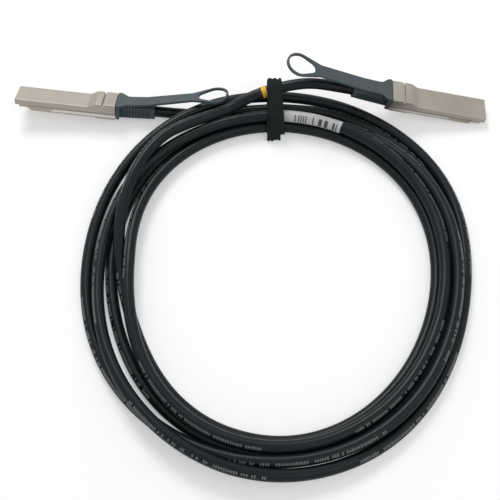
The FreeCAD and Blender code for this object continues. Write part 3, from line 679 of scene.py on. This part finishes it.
def pileTree():
    # short fibres standing all over a strap
    tree = bpy.data.node_groups.new("pile on a strap", "GeometryNodeTree")
    face = tree.interface
    face.new_socket("Strap", in_out="INPUT", socket_type="NodeSocketGeometry")
    for name, kind in (("Density", "Float"), ("Fibre", "Float"), ("Thick", "Float"), ("Lean", "Float"),
                       ("Seed", "Int"), ("Finish", "Material")):
        face.new_socket(name, in_out="INPUT", socket_type="NodeSocket" + kind)
    face.new_socket("Fuzzy", in_out="OUTPUT", socket_type="NodeSocketGeometry")
    new, link = tree.nodes.new, tree.links.new
    given, made = new("NodeGroupInput"), new("NodeGroupOutput")
    spread, fibre = new("GeometryNodeDistributePointsOnFaces"), new("GeometryNodeMeshCone")
    link(given.outputs["Strap"], spread.inputs["Mesh"])
    link(given.outputs["Density"], spread.inputs["Density"])
    link(given.outputs["Seed"], spread.inputs["Seed"])
    fibre.fill_type = "NONE"
    fibre.inputs["Vertices"].default_value = 3
    link(given.outputs["Thick"], fibre.inputs["Radius Bottom"])
    link(given.outputs["Fibre"], fibre.inputs["Depth"])
    lean = new("FunctionNodeRandomValue")
    tilt, push = new("ShaderNodeVectorMath"), new("ShaderNodeVectorMath")
    lean.data_type = "FLOAT_VECTOR"
    lean.inputs["Min"].default_value, lean.inputs["Max"].default_value = (-1, -1, -1), (1, 1, 1)
    link(given.outputs["Seed"], lean.inputs["Seed"])
    push.operation, tilt.operation = "SCALE", "ADD"
    link(lean.outputs["Value"], push.inputs[0])
    link(given.outputs["Lean"], push.inputs["Scale"])
    link(spread.outputs["Normal"], tilt.inputs[0])
    link(push.outputs["Vector"], tilt.inputs[1])
    aim, place = new("FunctionNodeAlignRotationToVector"), new("GeometryNodeInstanceOnPoints")
    link(tilt.outputs["Vector"], aim.inputs["Vector"])
    link(spread.outputs["Points"], place.inputs["Points"])
    link(fibre.outputs["Mesh"], place.inputs["Instance"])
    link(aim.outputs["Rotation"], place.inputs["Rotation"])
    join, realize, finish = (new("GeometryNode" + kind)
                             for kind in ("JoinGeometry", "RealizeInstances", "SetMaterial"))
    link(place.outputs["Instances"], join.inputs["Geometry"])
    link(given.outputs["Strap"], join.inputs["Geometry"])
    link(join.outputs["Geometry"], realize.inputs["Geometry"])
    link(realize.outputs["Geometry"], finish.inputs["Geometry"])
    link(given.outputs["Finish"], finish.inputs["Material"])
    link(finish.outputs["Geometry"], made.inputs["Fuzzy"])
    return tree


def evened(run):
    line = spaced(np.column_stack([np.zeros(len(run)), run]), tie["step"])[:, 1:]
    for _ in range(tie["even"]):
        line[1:-1] = (line[:-2] + 2 * line[1:-1] + line[2:]) / 4
    return line


def makeTie():
    finish = hookAndLoop()
    loop = tieProfile()
    middle = loop.mean(0)
    start = int((loop[:, 0] - 0.3 * loop[:, 1]).argmax())
    loop = np.roll(loop, -start, 0)
    outward = loop - middle
    outward /= np.linalg.norm(outward, axis=1)[:, None]
    layer = tie["thick"] + tie["between"]
    second = loop + outward * layer
    # the outer layer leaves the inner side of the bundle and ends on the floor
    leave = int(np.argmin(np.abs(second[:, 1] - tie["tailFrom"]) + 100 * (second[:, 0] > middle[0])))
    near = second[:, 0].min() - 0.4
    tail = [(near - 0.3, 7.0), (near - 1.4, 2.6), (-tie["tailOut"] + 0.6, tie["thick"] / 2 + 0.1)]
    halfway = loop[:1] + (second[:1] - loop[:1]) * 0.5
    strap = evened(np.vstack([loop, halfway, second[4:leave + 1], tail]))
    # the other end lies over both, slides to one side and stops above the tail
    top = int(second[:, 1].argmax())
    third = loop + outward * 2 * layer
    below = int(np.argmin(np.abs(third[:, 1] - tie["flapTo"]) + 100 * (third[:, 0] > middle[0])))
    flap = evened(third[top - 2:below + 1])
    flap[0, 1] += tie["flapLift"]
    rng = np.random.default_rng(tie["seed"])
    vertices, faces = strapMesh(strap, np.zeros(len(strap)), rng)
    extra, more = strapMesh(flap, 0.2 + tie["flapSlide"] * np.linspace(0, 1, len(flap)), rng)
    faces += [tuple(index + len(vertices) for index in polygon) for polygon in more]
    plain = bpy.data.meshes.new("strap")
    plain.from_pydata([tuple(c * mm for c in v) for v in vertices + extra], [], faces)
    plain.update()
    mesh = runTree(pileTree(), plain, dict(tie["pile"], Finish=finish))
    piece = finishPiece("tie_strap", mesh, finish, "cable", smooth=False)
    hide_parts("cable_tie")
    print(f"stage: tie, {len(mesh.polygons)} faces")
    return piece


tiePiece = makeTie()

# the finish of each plug piece; those without one share another piece's
finishes = {
    "upper_shell": nickelPlate(), "lower_shell": None, "paddle_card": boardLaminate(),
    "contact_pads": goldPlate(), "memory_chip": chipEpoxy(), "release_slider": springSteel(),
    "pull_tab": slateRubber(), "return_springs": None, "strain_boot": None,
    "crimp_ferrule": ferruleBrass(), "inner_wires": wireFilm(), "shell_screws": None,
}
shared = {
    "lower_shell": "upper_shell", "strain_boot": "pull_tab",
    "return_springs": "release_slider", "shell_screws": "release_slider",
}
spring = {"start": 3.0, "solid": 5.2, "travel": 3.0, "clear": 0.2}


def dressPlugs():
    for side in "ab":
        for name, finish in finishes.items():
            mesh = nodes[f"{name}_{side}"].data
            mesh.materials.clear()
            mesh.materials.append(finish or finishes[shared[name]])
        # each plug's return springs get a mesh of their own
        place = plugFrame(side)
        back = place(0, 0, 0) - place(1, 0, 0)
        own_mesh(nodes["return_springs_" + side], "release_slide_" + side, axis=tuple(back),
                  anchor=tuple(place(spring["start"], 0, 0) * mm),
                  keep=(spring["solid"] - spring["clear"]) / (spring["solid"] + spring["travel"]))
    print("stage: plugs")


dressPlugs()

# the floor is in metres, like the lamps' places
studio = {
    "floor": 4.0, "under": 0.0002, "pale": 0.93, "lift": 0.25, "bright": 1.5, "world": 0.5,
    "aim": (0, -0.12, 0),
    "lamps": {
        "key": {"at": (-0.35, 0.95, 1.25), "wide": 0.7, "power": 13.0},
        "fill": {"at": (0.9, -0.7, 1.3), "wide": 1.4, "power": 4.0},
    },
}


def makeFloor():
    half = studio["floor"] / 2
    mesh = bpy.data.meshes.new("floor")
    corners = [(-half, -half, 0), (half, -half, 0), (half, half, 0), (-half, half, 0)]
    mesh.from_pydata(corners, [], [(0, 1, 2, 3)])
    net = Net("floor", Roughness=0.9, Specular_IOR_Level=0.1)
    net.shader.inputs["Base Color"].default_value = (studio["pale"],) * 3 + (1,)
    # the camera and mirror rays see part of the floor as plain white; the light on the cable stays
    glow = net.add("ShaderNodeEmission", None, {"Strength": studio["bright"]})
    seen = net.add("ShaderNodeLightPath", output="Is Camera Ray")
    rays = seen.out.node.outputs
    for name in ("Is Glossy Ray", "Is Transmission Ray"):
        seen = seen + Socket(net, rays[name])
    inputs = {0: seen * studio["lift"], 1: Socket(net, net.shader.outputs[0]), 2: glow}
    blend = net.add("ShaderNodeMixShader", None, inputs)
    net.tree.links.new(blend.out, net.tree.nodes["Material Output"].inputs["Surface"])
    mesh.materials.append(net.material)
    floor = bpy.data.objects.new("floor", mesh)
    bpy.context.scene.collection.objects.link(floor)
    floor.location.z = -studio["under"]


def makeLights():
    world = bpy.data.worlds.new("studio")
    bpy.context.scene.world = world
    world.use_nodes = True
    tree = world.node_tree
    tree.nodes.clear()
    rays = tree.nodes.new("ShaderNodeLightPath")
    plain, shown = tree.nodes.new("ShaderNodeBackground"), tree.nodes.new("ShaderNodeBackground")
    plain.inputs["Strength"].default_value = studio["world"]
    shown.inputs["Strength"].default_value = 1.0
    for shade in (plain, shown):
        shade.inputs["Color"].default_value = (1, 1, 1, 1)
    pick, out = tree.nodes.new("ShaderNodeMixShader"), tree.nodes.new("ShaderNodeOutputWorld")
    total = rays.outputs["Is Camera Ray"]
    for other in ("Is Glossy Ray", "Is Transmission Ray"):
        either = tree.nodes.new("ShaderNodeMath")
        either.operation, either.use_clamp = "ADD", True
        tree.links.new(total, either.inputs[0])
        tree.links.new(rays.outputs[other], either.inputs[1])
        total = either.outputs[0]
    tree.links.new(total, pick.inputs[0])
    tree.links.new(plain.outputs[0], pick.inputs[1])
    tree.links.new(shown.outputs[0], pick.inputs[2])
    tree.links.new(pick.outputs[0], out.inputs[0])
    for name, lamp in studio["lamps"].items():
        data = bpy.data.lights.new(name, "AREA")
        data.shape, data.size, data.energy = "DISK", lamp["wide"], lamp["power"]
        holder = bpy.data.objects.new(name, data)
        holder.location = lamp["at"]
        aim = Vector(studio["aim"]) - Vector(lamp["at"])
        holder.rotation_euler = aim.to_track_quat("-Z", "Y").to_euler()
        bpy.context.scene.collection.objects.link(holder)


makeFloor()
makeLights()
bpy.context.scene.view_settings.view_transform = "Standard"
print("stage: floor and light")
